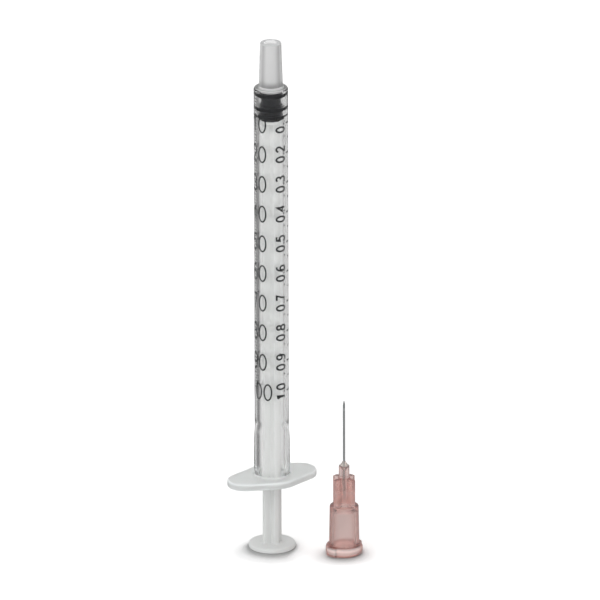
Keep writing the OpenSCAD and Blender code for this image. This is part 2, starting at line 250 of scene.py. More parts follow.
# Materials. rough: least, most, then the noise's scale, detail and stretch.
# facing: the span from facing the viewer to seen edge on, over which the first colour turns into the second.
# Names that end in At give stops of height in millimetres and level.
clearSockets = {"Transmission Weight": 0.99, "IOR": 1.49, "Specular Tint": greyTint(0.16)}
hazySockets = {"IOR": 1.49, "Specular Tint": greyTint(0.7)}
lookSets = {
    "clearPlastic": {
        "sockets": clearSockets,
        # painted dark band where the bore's edge shows, standing in for dark surroundings seen through the
        # wall
        "bands": ((0.24, 0.985), (0.32, 0.85), (0.38, 0.85), (0.48, 0.96), (1.0, 0.99)),
        "rough": (0.08, 0.15, 260, 2, (1, 1, 0.25)),
    },
    "borePlastic": {
        "sockets": {**clearSockets, "Specular Tint": greyTint(0.15)},
        # painted dark line where the bore is seen edge on, standing in for dark surroundings seen through the
        # wall
        "facing": (0.6, 0.95),
        "colours": ((0.99, 0.99, 0.99), (0.02, 0.02, 0.02)),
        "rough": (0.12, 0.2, 900, 3),
    },
    "tipPlastic": {
        "sockets": {**hazySockets, "Transmission Weight": 0.6},
        # painted dark ring on the tip's sides, standing in for dark surroundings seen through it
        "bands": ((0.1, 0.9), (0.25, 0.68), (0.33, 0.66), (0.43, 0.95), (1.0, 1.0)),
        # painted darkening in the tip's foot, standing in for the black stopper seen through it
        "dimAt": ((91.4, 0.4), (92.7, 1.0)),  # the black stopper shows through the foot
        "rough": (0.31, 0.35, 400, 2),
    },
    "rimPlastic": {
        "sockets": {**hazySockets, "Transmission Weight": 0.45},
        # painted shade: darker where the rim is seen edge on
        "facing": (0.7, 0.95),
        "colours": ((0.82, 0.83, 0.83), (0.6, 0.61, 0.61)),
        "rough": (0.3, 0.34, 700, 3),
    },
    "mouthPlastic": {
        "sockets": {**hazySockets, "Transmission Weight": 0.3},
        # painted shade: a little darker where seen edge on
        "facing": (0.7, 0.95),
        "colours": ((1.0, 1.0, 1.0), (0.9, 0.91, 0.91)),
        "rough": (0.3, 0.34, 700, 3),
    },
    "shoulderPlastic": {
        "sockets": {**hazySockets, "Transmission Weight": 0.6},
        # painted shade: much darker where the shoulder's rounding is seen edge on
        "facing": (0.42, 0.66),
        "colours": ((1.0, 1.0, 1.0), (0.5, 0.51, 0.5)),
        "rough": (0.31, 0.36, 700, 3),
    },
    "flangePlastic": {
        "sockets": {**hazySockets, "Transmission Weight": 0.6},
        # painted shade: a little darker where seen edge on
        "facing": (0.7, 1.0),
        "colours": ((0.96, 0.98, 0.97), (0.92, 0.94, 0.94)),
        "rough": (0.3, 0.34, 700, 3),
    },
    "flangeEdgePlastic": {
        "sockets": hazySockets,
        # painted highlight: the rounded rims lighter where seen edge on
        "facing": (0.5, 0.75),
        "colours": ((0.92, 0.94, 0.94), (1.0, 1.0, 1.0)),
        "clearAt": ((13.5, 0.35), (14.2, 0.25)),
        "rough": (0.3, 0.34, 700, 3),
    },
    "milkyPlastic": {
        "sockets": {"Transmission Weight": 0.2, "IOR": 1.49, "Specular IOR Level": 0.45},
        "grain": (300, 3, (1, 1, 0.2)),
        "colours": ((0.82, 0.83, 0.82), (0.86, 0.87, 0.86)),
        "rough": (0.34, 0.44, 1200, 3),
    },
    "blackRubber": {
        "sockets": {"IOR": 1.5, "Specular IOR Level": 0.2},
        "grain": (2500, 4),
        "colours": ((0.005, 0.006, 0.008), (0.011, 0.012, 0.016)),
        "rough": (0.42, 0.58, 4000, 3),
        "bump": (0.00001, 9000, 3),
    },
    "tintedPlastic": {
        "sockets": {"IOR": 1.49, "Specular Tint": greyTint(0.8)},
        # darker and redder where seen edge on: partly the longer path through the tinted wall, partly painted
        # shade; full on the body, weaker above it
        "facing": (0.25, 0.6),
        "colours": ((0.985, 0.95, 0.935), (0.74, 0.5, 0.45)),
        "edgeAt": ((9.0, 1.0), (9.8, 0.4)),
        # deeper, darker pink low in the foot, as painted shade where it stands on the floor, and low in the
        # fins
        "deep": (0.92, 0.66, 0.6),
        "deepAt": ((1.3, 0.5), (1.9, 0.0), (9.4, 0.0), (10.4, 0.9), (13.0, 0.6), (14.9, 0.45), (15.1, 0.0)),
        "clearAt": (
            (0.3, 0.8), (0.8, 0.55), (1.3, 0.3), (1.9, 0.93), (9.3, 0.93),
            (10.2, 0.68), (12.0, 0.7), (13.5, 0.82), (15.2, 0.88),
        ),
        "rough": (0.2, 0.26, 300, 2, (1, 1, 0.3)),
        "depth": ((0.72, 0.18, 0.1, 1), 250),  # darker where the plastic is thicker
    },
    "steel": {
        "sockets": {"Metallic": 1.0},
        "grain": (8000, 2, (1, 1, 0.03)),
        "colours": ((0.28, 0.29, 0.29), (0.37, 0.38, 0.39)),
        "rough": (0.2, 0.34, 6000, 3, (1, 1, 0.05)),
    },
    "curedAdhesive": {
        "sockets": {"Transmission Weight": 0.7, "IOR": 1.5},
        "grain": (3000, 2),
        "colours": ((0.83, 0.78, 0.74), (0.9, 0.86, 0.82)),
        "rough": (0.08, 0.16, 3000, 2),
    },
    "printInk": {
        "sockets": {"Specular IOR Level": 0.3},
        "grain": (5000, 3),
        "colours": ((0.02, 0.021, 0.022), (0.04, 0.042, 0.043)),
        "rough": (0.45, 0.6, 5000, 3),
    },
}
looks = {name: makeLook(name, settings) for name, settings in lookSets.items()}

print("stage: materials")


# Shape helpers: a piece is a stack of rings with one number of points each, in millimetres
def arc(centreR, centreZ, radius, fromDeg, toDeg, steps):
    points = []
    for i in range(steps + 1):
        a = math.radians(fromDeg + (toDeg - fromDeg) * i / steps)
        points.append((centreR + radius * math.cos(a), centreZ + radius * math.sin(a)))
    return points


def quarterRound(radius, steps):
    # inset and rise, from the flat end of the rounding to its upright end
    points = []
    for i in range(steps + 1):
        a = math.pi / 2 * i / steps
        points.append((radius * (1 - math.sin(a)), radius * (1 - math.cos(a))))
    return points


def evenAngles(count):
    return [2 * math.pi * i / count for i in range(count)]


def circleRow(angles, radius, z):
    return [(radius * math.cos(a), radius * math.sin(a), z) for a in angles]


def circleRows(angles, points):
    return [circleRow(angles, r, z) for r, z in points]


def turnedRows(rows, turn):
    cosT, sinT = math.cos(turn), math.sin(turn)
    return [[(x * cosT - y * sinT, x * sinT + y * cosT, z) for x, y, z in row] for row in rows]


def finishMesh(name, bm, materials, sharpDeg=35):
    bmesh.ops.recalc_face_normals(bm, faces=bm.faces)
    mesh = bpy.data.meshes.new(name)
    bm.to_mesh(mesh)
    bm.free()
    for material in materials:
        mesh.materials.append(material)
    mesh.shade_smooth()
    mesh.set_sharp_from_angle(angle=math.radians(sharpDeg))
    piece = bpy.data.objects.new(name, mesh)
    scene.collection.objects.link(piece)
    return piece


def ringPiece(name, rows, zones, closed, at=(0, 0), sharpDeg=35):
    # zones: the first band of each material, in rising order
    materials = list(dict.fromkeys(looks[look] for start, look in zones))
    bm = bmesh.new()
    rings = [[bm.verts.new(((x + at[0]) * mm, (y + at[1]) * mm, z * mm)) for x, y, z in row] for row in rows]
    pairs = list(zip(rings, rings[1:]))
    if closed:
        pairs.append((rings[-1], rings[0]))
    for k, (lower, upper) in enumerate(pairs):
        look = [look for start, look in zones if k >= start][-1]
        count = max(len(lower), len(upper))
        for i in range(count):
            j = (i + 1) % count
            if len(lower) == 1:
                face = bm.faces.new((lower[0], upper[j], upper[i]))
            elif len(upper) == 1:
                face = bm.faces.new((lower[i], lower[j], upper[0]))
            else:
                face = bm.faces.new((lower[i], lower[j], upper[j], upper[i]))
            face.material_index = materials.index(looks[look])
    return finishMesh(name, bm, materials, sharpDeg)


# Barrel with its finger flange and conical tip, one closed shell
barrelSet = {
    "turns": 256,
    "boreR": 2.33,
    "outerR": 3.2,
    "collarR": 3.37,
    "collarBoreR": 2.4,
    "leadIn": 0.3,
    "flangeLow": 13.05,
    "flangeTop": 14.45,
    "flangeLength": 18.1,
    "flangeWidth": 10.6,
    "flangeEndR": 3.3,
    "flangeRound": 0.35,
    "flangeFillet": 0.4,
    "collarTop": 21.65,
    "flareTop": 23.95,
    "sideBands": 8,
    "ridgeZ": 24.1,
    "ridgeHeight": 0.12,
    "ridgeHalf": 1.6,
    "ridgeSteps": 24,
    "boreEnd": 90.3,
    "shoulder": 90.95,
    "shoulderRound": 0.45,
    "faceCone": 0.3,
    "tipTop": 99.65,
    "tipEndR": 1.985,
    "tipBaseR": 2.24,
    "tipRound": 0.2,
    "tipFillet": 0.35,
    "tipSteps": 5,
    "channelR": 0.8,
    "mouthR": 1.15,
    "mouthDepth": 0.4,
    "roundSteps": 6,
}


def flangeRadius(angle, inset, s):
    # a wide round middle and two small round ends, joined by their common tangents
    middle = s["flangeWidth"] / 2 - inset
    end = s["flangeEndR"] - inset
    endX = s["flangeLength"] / 2 - s["flangeEndR"]
    x, y = abs(math.cos(angle)), abs(math.sin(angle))
    folded = math.atan2(y, x)
    tangent = math.acos((middle - end) / endX)
    if folded >= tangent:
        return middle
    touch = math.atan2(end * math.sin(tangent), endX + end * math.cos(tangent))
    if folded >= touch:
        return middle / math.cos(folded - tangent)
    return endX * x + math.sqrt(end * end - (endX * y) ** 2)


def makeBarrel(s):
    angles = evenAngles(s["turns"])
    steps = s["roundSteps"]
    rows = []
    zones = [(0, "flangePlastic")]

    def addRound(points):
        rows.extend(circleRows(angles, points))

    def addFlange(inset, z, innerR=0.0, share=1.0):
        row = []
        for a in angles:
            r = innerR + (flangeRadius(a, inset, s) - innerR) * share
            row.append((r * math.cos(a), r * math.sin(a), z))
        rows.append(row)

    def startZone(look, rowsBack=0):
        zones.append((len(rows) - rowsBack, look))

    low, top, rnd = s["flangeLow"], s["flangeTop"], s["flangeRound"]
    innerR = s["collarBoreR"] + s["leadIn"]
    addRound([(innerR, low)])
    addFlange(rnd, low, innerR, 0.5)
    startZone("flangeEdgePlastic")
    for inset, rise in quarterRound(rnd, steps):
        addFlange(inset, low + rise)
    startZone("flangePlastic", 1)
    startZone("flangeEdgePlastic")
    for inset, rise in reversed(quarterRound(rnd, steps)):
        addFlange(inset, top - rise)
    startZone("flangePlastic", 1)
    fillet = s["flangeFillet"]
    addFlange(rnd, top, s["collarR"] + fillet, 0.5)
    addRound(arc(s["collarR"] + fillet, top + fillet, fillet, 270, 180, steps))

    startZone("clearPlastic", 1)
    addRound([(s["collarR"], s["collarTop"]), (s["outerR"], s["flareTop"])])
    side = s["shoulder"] - s["flareTop"]
    bands = s["sideBands"]
    addRound([(s["outerR"], s["flareTop"] + side * k / bands) for k in range(1, bands)])
    rnd = s["shoulderRound"]
    addRound(arc(s["outerR"] - rnd, s["shoulder"] - rnd, rnd, 0, 90, steps))
    startZone("shoulderPlastic", 4)  # from halfway up the rounding
    fillet = s["tipFillet"]
    addRound(arc(s["tipBaseR"] + fillet, s["shoulder"] + fillet, fillet, 270, 180, steps))

    startZone("tipPlastic", 1)
    startZone("rimPlastic")
    rnd = s["tipRound"]
    addRound(arc(s["tipEndR"] - rnd, s["tipTop"] - rnd, rnd, 0, 90, s["tipSteps"]))
    startZone("mouthPlastic")
    addRound([(s["mouthR"], s["tipTop"]), (s["channelR"], s["tipTop"] - s["mouthDepth"])])
    addRound([(s["channelR"], s["boreEnd"] + s["faceCone"]), (s["boreR"], s["boreEnd"])])

    startZone("borePlastic", 1)
    steps = s["ridgeSteps"]
    for i in range(1, steps):
        share = 2 * i / steps - 1
        plainR = s["boreR"] + (s["collarBoreR"] - s["boreR"]) * i / steps
        swell = s["ridgeHeight"] * (1 + math.cos(math.pi * share)) / 2
        addRound([(plainR - swell, s["ridgeZ"] - s["ridgeHalf"] * share)])
    addRound([(s["collarBoreR"], low + s["leadIn"])])
    piece = ringPiece("barrelMoulding", rows, zones, True)
    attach(piece, "barrel")
    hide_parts("barrel")


makeBarrel(barrelSet)
print("stage: barrel")


# Cross-shaped outlines for the rod and the hub's fins. tipR: radius of the arms;
# halfT: half their thickness; cornerR: rounding of their ends; postR: the round core
def crossAngles(tipR, halfT, cornerR, postR, sideSteps, rootSteps, extra=()):
    flat = halfT - cornerR
    flatPoint = 0.6  # where the flat end of an arm gets a point, as a share of its half width
    cornerSteps = 3
    rootAngle = math.asin(halfT / postR)
    half = [0.0, math.atan2(flat * flatPoint, tipR)]
    for i in range(cornerSteps + 1):
        a = math.pi / 2 * i / cornerSteps
        half.append(math.atan2(flat + cornerR * math.sin(a), tipR - cornerR + cornerR * math.cos(a)))
    last = half[-1]
    for i in range(1, sideSteps + 1):
        half.append(last + (rootAngle - last) * i / sideSteps)
    for i in range(1, rootSteps + 1):
        half.append(rootAngle + (math.pi / 4 - rootAngle) * i / rootSteps)
    half = sorted(set(round(a, 6) for a in [*half, *extra]))
    quarter = [-a for a in reversed(half[1:])][1:] + half
    return sorted(a + k * math.pi / 2 for k in range(4) for a in quarter)


def crossRadius(angle, tipR, halfT, cornerR, postR):
    a = angle % (math.pi / 2)
    a = min(a, math.pi / 2 - a)
    x, y = math.cos(a), max(math.sin(a), 1e-9)
    cornerX, cornerY = tipR - cornerR, halfT - cornerR
    along = cornerX * x + cornerY * y
    inside = along * along - (cornerX * cornerX + cornerY * cornerY - cornerR * cornerR)
    if inside > 0:
        onArc = along + math.sqrt(inside)
        if onArc * x >= cornerX and onArc * y >= cornerY:
            return onArc
    return min(tipR / x, max(halfT / y, postR))


def crossRow(angles, z, *cross):
    row = []
    for a in angles:
        r = crossRadius(a, *cross)
        row.append((r * math.cos(a), r * math.sin(a), z))
    return row


# Plunger rod: thumb rest, four ribs, disc and barbed head
rodSet = {
    "thumbR": 4.375,
    "thumbT": 0.95,
    "thumbRound": 0.3,
    "thumbRings": (1.5, 3.0),
    "thumbSteps": 6,
    "ribR": 1.8,
    "ribHalfT": 0.5,
    "ribCorner": 0.12,
    "innerCorner": 0.8,
    "ribBands": 12,
    "sideSteps": 5,
    "rootSteps": 2,
    "footFillet": 0.3,
    "footSpread": (0.5, 0.3),  # the fillet's share on the ribs' sides and on their corners
    "footSteps": 5,
    "discR": 2.05,
    "discZ": 84.0,
    "stopperZ": 84.7,
    "discRound": 0.1,
    "discSteps": 3,
    "neckR": 0.9,
    "headR": 1.4,
    "headZ": 85.9,
    "headL": 1.5,
}


def makeRod(s):
    tipR, halfT, corner, post = s["ribR"], s["ribHalfT"], s["ribCorner"], s["innerCorner"]
    angles = crossAngles(tipR, halfT, corner, post, s["sideSteps"], s["rootSteps"])
    rows = [[(0, 0, 0)]]
    rnd, steps = s["thumbRound"], s["thumbSteps"]
    rows += circleRows(angles, [(r, 0) for r in s["thumbRings"]])
    rows += circleRows(angles, arc(s["thumbR"] - rnd, rnd, rnd, -90, 0, steps))
    rows += circleRows(angles, arc(s["thumbR"] - rnd, s["thumbT"] - rnd, rnd, 0, 90, steps))
    rows.append(circleRow(angles, s["thumbRings"][-1], s["thumbT"]))
    onSide, onCorner = s["footSpread"]
    for grow, rise in quarterRound(s["footFillet"], s["footSteps"]):
        cross = (tipR + grow, halfT + grow * onSide, corner + grow * onCorner, post)
        rows.append(crossRow(angles, s["thumbT"] + rise, *cross))
    footZ = s["thumbT"] + s["footFillet"]
    for k in range(1, s["ribBands"] + 1):
        z = footZ + (s["discZ"] - footZ) * k / s["ribBands"]
        rows.append(crossRow(angles, z, tipR, halfT, corner, post))
    rnd, steps = s["discRound"], s["discSteps"]
    rows += circleRows(angles, arc(s["discR"] - rnd, s["discZ"] + rnd, rnd, -90, 0, steps))
    rows += circleRows(angles, arc(s["discR"] - rnd, s["stopperZ"] - rnd, rnd, 0, 90, steps))
    headTop = s["headZ"] + s["headL"]
    rows += circleRows(angles, (
        (s["neckR"], s["stopperZ"]), (s["neckR"], s["headZ"]),
        (s["headR"], s["headZ"]), (s["neckR"], headTop),
    ))
    rows.append([(0, 0, headTop)])
    piece = ringPiece("plungerRod", rows, [(0, "milkyPlastic")], False)
    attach(piece, "plunger")
    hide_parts("plunger_rod")


makeRod(rodSet)
print("stage: plunger rod")

# Stopper: cone, three ribs that press on the bore, waist and tail
stopperSet = {
    "turns": 128,
    "ribR": 2.334,  # the ribs are pressed against the bore, so they lie on it
    "waistR": 1.9,
    "tailR": 2.05,
    "tailRound": 0.1,
    "tailStep": 0.02,
    "channelR": 0.8,
    "faceZ": 90.25,
    "faceCone": 0.3,
    "frontRib": (89.1, 90.25),
    "middleRib": (86.4, 87.6),
    "rearRib": (85.1, 86.0),
    "tailZ": 84.7,
    "ribRound": 0.3,
    "ribSteps": 6,
    "faceFrom": 80,  # degrees of the front rib's rounding at which the cone of the face takes over
    "neckR": 0.93,
    "headR": 1.43,
    "headLow": 85.87,
    "headTop": 87.43,
}


def makeStopper(s):
    angles = evenAngles(s["turns"])
    rnd, ease = s["ribRound"], s["tailRound"]
    profile = [(s["neckR"], s["tailZ"]), (s["tailR"] - ease, s["tailZ"]), (s["tailR"], s["tailZ"] + ease)]

    def addRib(low, high, below, topAngle):
        profile.append((below, low))
        profile.extend(arc(s["ribR"] - rnd, low + rnd, rnd, -90, 0, s["ribSteps"]))
        profile.extend(arc(s["ribR"] - rnd, high - rnd, rnd, 0, topAngle, s["ribSteps"]))

    addRib(*s["rearRib"], s["tailR"] - s["tailStep"], 90)
    profile.append((s["waistR"], s["rearRib"][1]))
    addRib(*s["middleRib"], s["waistR"], 90)
    profile.append((s["waistR"], s["middleRib"][1]))
    addRib(*s["frontRib"], s["waistR"], s["faceFrom"])
    faceTop = s["faceZ"] + s["faceCone"]
    profile.append((s["channelR"], faceTop))
    hollow = ((s["neckR"], s["headTop"]), (s["headR"], s["headLow"]), (s["neckR"], s["headLow"]))
    rows = [[(0, 0, s["headTop"])], *circleRows(angles, hollow)]
    rows += [*circleRows(angles, profile), [(0, 0, faceTop)]]
    piece = ringPiece("rubberStopper", rows, [(0, "blackRubber")], False)
    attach(piece, "plunger")
    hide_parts("stopper")


makeStopper(stopperSet)
print("stage: stopper")

# Needle hub: socket, flange with two lugs, crossed fins and nose
needleAt = (10.15, -9.4)
hubSet = {
    "turn": 18.0,
    "socketR": 2.14,
    "socketEndR": 1.894,
    "socketL": 8.2,
    "mouthEase": (0.1, 0.12),
    "footR": 2.86,
    "topR": 2.71,
    "bodyH": 9.4,
    "bodyRound": 0.2,
    "bodySteps": 5,
    "bodyBands": 4,
    "flangeR": 3.475,
    "flangeT": 1.8,
    "flangeRound": 0.6,
    "flangeSteps": 7,
    "lugR": 3.9,
    "lugEdges": (math.radians(14.5), math.radians(20.5)),
    "lugSteps": 6,
    "finR": 2.45,
    "finHalfT": 0.45,
    "finH": 5.5,
    "finRound": 0.35,
    "finSteps": 5,
    "finCorner": 0.1,
    "topCorner": 0.6,  # share of the corner that is left at the fins' top
    "finEdge": 0.06,
    "finFillet": 0.15,
    "filletOut": 0.2,  # share of the fillet that the fins' ends get
    "filletSteps": 3,
    "sideSteps": 4,
    "rootSteps": 6,
    "postR": 1.15,
    "noseR": 1.0,
    "noseL": 2.4,
    "noseRound": 0.1,
    "noseSteps": 4,
    "chamberR": 0.8,
    "chamberZ": 10.8,
    "holeR": 0.25,
    "wellR": 0.7,
    "wellDepth": 0.9,
    "sharpDeg": 32,
}


def lugRow(angles, inset, z, s):
    first, last = s["lugEdges"]
    row = []
    for a in angles:
        fromLug = math.asin(min(abs(math.sin(a)), 1))
        share = min(max((last - fromLug) / (last - first), 0), 1)
        r = s["flangeR"] + (s["lugR"] - s["flangeR"]) * share * share * (3 - 2 * share) - inset
        row.append((r * math.cos(a), r * math.sin(a), z))
    return row


def makeHub(s):
    first, last = s["lugEdges"]
    lugAngles = [first + (last - first) * k / s["lugSteps"] for k in range(s["lugSteps"] + 1)]
    tipR, halfT, corner, post = s["finR"], s["finHalfT"], s["finCorner"], s["postR"]
    angles = crossAngles(tipR, halfT, corner, post, s["sideSteps"], s["rootSteps"], lugAngles)
    easeR, easeZ = s["mouthEase"]
    rows = [circleRow(angles, s["socketR"] + easeR, 0)]
    rounding = quarterRound(s["flangeRound"], s["flangeSteps"])
    rows += [lugRow(angles, inset, rise, s) for inset, rise in rounding]
    rows += [lugRow(angles, inset, s["flangeT"] - rise, s) for inset, rise in reversed(rounding)]

    slope = (s["topR"] - s["footR"]) / s["bodyH"]
    bodyL = s["bodyH"] - s["flangeT"] - s["bodyRound"]
    for k in range(s["bodyBands"]):
        z = s["flangeT"] + bodyL * k / s["bodyBands"]
        rows.append(circleRow(angles, s["footR"] + slope * z, z))
    rnd = s["bodyRound"]
    rows += circleRows(angles, arc(s["topR"] - rnd, s["bodyH"] - rnd, rnd, 0, 90, s["bodySteps"]))

    top = s["bodyH"] + s["finH"]
    for grow, rise in quarterRound(s["finFillet"], s["filletSteps"]):
        cross = (min(tipR + grow * s["filletOut"], s["topR"] - rnd), halfT + grow, corner, post + grow)
        rows.append(crossRow(angles, s["bodyH"] + rise, *cross))
    rows.append(crossRow(angles, (s["bodyH"] + top) / 2, tipR, halfT, corner, post))
    edge = s["finEdge"]
    for drop, inset in quarterRound(s["finRound"], s["finSteps"]):
        shrink = max(0, edge - drop) / edge
        thin = edge * (1 - math.sqrt(max(0, 1 - shrink * shrink)))
        cross = (tipR - inset, halfT - thin, corner * s["topCorner"], post - edge * shrink)
        rows.append(crossRow(angles, top - drop, *cross))

    noseZ = top + s["noseL"]
    rnd = s["noseRound"]
    rows.append(circleRow(angles, s["noseR"], top))
    rows += circleRows(angles, arc(s["noseR"] - rnd, noseZ - rnd, rnd, 0, 90, s["noseSteps"]))
    rows += circleRows(angles, (
        (s["wellR"], noseZ), (s["holeR"], noseZ - s["wellDepth"]), (s["holeR"], s["chamberZ"]),
        (s["chamberR"], s["chamberZ"]), (s["chamberR"], s["bodyH"]),
        (s["socketEndR"], s["socketL"]), (s["socketR"], easeZ),
    ))
    rows = turnedRows(rows, math.radians(s["turn"]))
    piece = ringPiece("needleHub", rows, [(0, "tintedPlastic")], True, needleAt, s["sharpDeg"])
    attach(piece, "needle")
    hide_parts("needle_hub")


makeHub(hubSet)
print("stage: needle hub")

# Cannula: thin steel tube, ground to a point in three facets
cannulaSet = {
    "turns": 64,
    "outerR": 0.23,
    "lumenR": 0.13,
    "lowZ": 10.5,
    "tipZ": 30.2,
    "bevelAngle": 12.5,
    "sideAngle": 19.0,
    "sideTurn": 34.0,
    "bevelTurn": -119.0,
    "wallShares": (0.0, 0.33, 0.67, 1.0),
    "sharpDeg": 20,
}


def groundHeight(x, y, s):
    height = s["tipZ"]
    side, turn = s["sideAngle"], s["sideTurn"]
    for facet, facetTurn in ((s["bevelAngle"], 0), (side, turn), (side, -turn)):
        t = math.radians(facetTurn)
        away = s["outerR"] - (-x * math.sin(t) + y * math.cos(t))
        height = min(height, s["tipZ"] - away / math.tan(math.radians(facet)))
    return height


def makeCannula(s):
    angles = evenAngles(s["turns"])
    rows = [circleRow(angles, s["outerR"], s["lowZ"])]
    for share in s["wallShares"]:
        r = s["outerR"] + (s["lumenR"] - s["outerR"]) * share
        rows.append([(x, y, groundHeight(x, y, s)) for x, y, z in circleRow(angles, r, 0)])
    rows.append(circleRow(angles, s["lumenR"], s["lowZ"]))
    rows = turnedRows(rows, math.radians(s["bevelTurn"] + 90))
    piece = ringPiece("steelCannula", rows, [(0, "steel")], True, needleAt, s["sharpDeg"])
    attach(piece, "needle")
    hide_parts("cannula")


makeCannula(cannulaSet)

# Cured adhesive: fills the well of the nose and rises round the tube
adhesiveSet = {
    "turns": 64,
    # radius and height of each ring
    "profile": (
        (0.235, 16.42), (0.69, 17.3), (0.93, 17.31), (0.8, 17.42), (0.62, 17.6),
        (0.45, 17.82), (0.33, 18.02), (0.25, 18.18), (0.235, 18.19),
    ),
}


def makeAdhesive(s):
    rows = circleRows(evenAngles(s["turns"]), s["profile"])
    piece = ringPiece("adhesiveBead", rows, [(0, "curedAdhesive")], True, needleAt)
    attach(piece, "needle")
    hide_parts("adhesive")


makeAdhesive(adhesiveSet)
print("stage: cannula and adhesive")


# Printed scale: graduation lines made by Geometry Nodes, and numbers drawn as strokes
def scaleTree():
    tree = bpy.data.node_groups.new("graduationLines", "GeometryNodeTree")
    face = tree.interface
    kinds = {
        "NodeSocketGeometry": ("Geometry",),
        "NodeSocketInt": ("Lines", "Long Every", "Middle Every"),
        "NodeSocketFloat": (
            "Pitch", "First Height", "Line Width", "Ink Height",
            "Short", "Middle", "Long", "Radius", "Start Angle",
        ),
        "NodeSocketMaterial": ("Ink",),
    }
    for kind, names in kinds.items():
        for name in names:
            face.new_socket(name, in_out="INPUT", socket_type=kind)
    face.new_socket("Geometry", in_out="OUTPUT", socket_type="NodeSocketGeometry")
    given = addNode(tree, "NodeGroupInput").outputs
    out = addNode(tree, "NodeGroupOutput")

    def combine(operation, *values):
        return mathNode(tree, operation, *values)

    def step(kind, source, socket="Geometry", **inputs):
        node = addNode(tree, kind)
        if source:
            tree.links.new(source, node.inputs[socket])
        for name, value in inputs.items():
            feed(tree, node.inputs[name], value)
        return node

    line = addNode(tree, "GeometryNodeMeshLine")
    tree.links.new(given["Lines"], line.inputs["Count"])
    tree.links.new(joinVector(tree, 0, 0, given["First Height"]), line.inputs["Start Location"])
    tree.links.new(joinVector(tree, 0, 0, given["Pitch"]), line.inputs["Offset"])
    bar = addNode(tree, "GeometryNodeMeshCube")
    tree.links.new(joinVector(tree, 1, given["Ink Height"], given["Line Width"]), bar.inputs["Size"])
    bar.inputs["Vertices X"].default_value = 13  # points that let the bar bend round the barrel

    # every fifth line is longer, and every tenth is the longest
    index = addNode(tree, "GeometryNodeInputIndex").outputs[0]
    isLong = combine("COMPARE", combine("MODULO", index, given["Long Every"]), 0, 0.1)
    isMiddle = combine("COMPARE", combine("MODULO", index, given["Middle Every"]), 0, 0.1)
    toMiddle = combine("SUBTRACT", given["Middle"], given["Short"])
    toLong = combine("SUBTRACT", given["Long"], given["Middle"])
    length = combine("ADD", given["Short"], combine("MULTIPLY", isMiddle, toMiddle))
    length = combine("ADD", length, combine("MULTIPLY", isLong, toLong))
    place = step("GeometryNodeInstanceOnPoints", line.outputs["Mesh"], "Points")
    tree.links.new(bar.outputs["Mesh"], place.inputs["Instance"])
    tree.links.new(joinVector(tree, length, 1, 1), place.inputs["Scale"])

    # the length is kept, because each line starts at the same side and its middle moves by half its length
    placed = place.outputs["Instances"]
    store = step("GeometryNodeStoreNamedAttribute", placed, Name="lineLength", Value=length)
    store.data_type = "FLOAT"
    store.domain = "INSTANCE"
    real = step("GeometryNodeRealizeInstances", store.outputs["Geometry"])
    kept = step("GeometryNodeInputNamedAttribute", None, Name="lineLength")
    kept.data_type = "FLOAT"
    parts = splitVector(tree, addNode(tree, "GeometryNodeInputPosition").outputs[0])
    along = combine("ADD", parts["X"], combine("MULTIPLY", kept.outputs["Attribute"], 0.5))
    angle = combine("SUBTRACT", given["Start Angle"], combine("DIVIDE", along, given["Radius"]))
    radius = combine("ADD", given["Radius"], parts["Y"])
    x = combine("MULTIPLY", radius, combine("COSINE", angle))
    y = combine("MULTIPLY", radius, combine("SINE", angle))
    curved = joinVector(tree, x, y, parts["Z"])
    bent = step("GeometryNodeSetPosition", real.outputs["Geometry"], Position=curved)
    ink = step("GeometryNodeSetMaterial", bent.outputs["Geometry"], Material=given["Ink"])
    tree.links.new(ink.outputs["Geometry"], out.inputs[0])
    return tree


linesSet = {
    "Lines": 101,
    "Long Every": 10,
    "Middle Every": 5,
    "Pitch": 0.586 * mm,
    "First Height": 31.65 * mm,
    "Line Width": 0.2 * mm,
    "Ink Height": 0.012 * mm,
    "Short": 1.3 * mm,
    "Middle": 1.8 * mm,
    "Long": 2.4 * mm,
    "Radius": 3.203 * mm,
    "Start Angle": viewAngle - math.radians(86),
    "Ink": looks["printInk"],
}


def makeLines(name, values):
    holder = bpy.data.objects.new(name, bpy.data.meshes.new(name))
    scene.collection.objects.link(holder)
    modifier = holder.modifiers.new("lines", "NODES")
    modifier.node_group = graduationLines
    for socket in graduationLines.interface.items_tree:
        if socket.in_out == "INPUT" and socket.name in values:
            modifier[socket.identifier] = values[socket.name]
    depsgraph = bpy.context.evaluated_depsgraph_get()
    plain = bpy.data.meshes.new_from_object(holder.evaluated_get(depsgraph))
    holder.modifiers.clear()
    holder.data = plain
    bm = bmesh.new()
    bm.from_mesh(plain)
    bmesh.ops.recalc_face_normals(bm, faces=bm.faces)
    bm.to_mesh(plain)
    bm.free()
    kept = plain.attributes.get("lineLength")
    if kept:
        plain.attributes.remove(kept)
    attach(holder, "barrel")


graduationLines = scaleTree()
makeLines("scaleLines", linesSet)

numberSet = {
    "inkOuter": 3.209,
    "inkInner": 3.197,
    "height": 3.05,
    "width": 1.45,
    "stroke": 0.29,
    "advance": 2.02,
    "pointAdvance": 0.5,  # share of a digit's advance that the point takes
    "zeroLineZ": 90.25,
    "pitch": 5.86,
    "middleAngle": viewAngle - math.radians(49.5),
}


def ellipsePath(cx, cy, rx, ry, fromDeg, toDeg, steps):
    path = []
    for i in range(steps + 1):
        a = math.radians(fromDeg + (toDeg - fromDeg) * i / steps)
        path.append((cx + rx * math.cos(a), cy + ry * math.sin(a)))
    return path


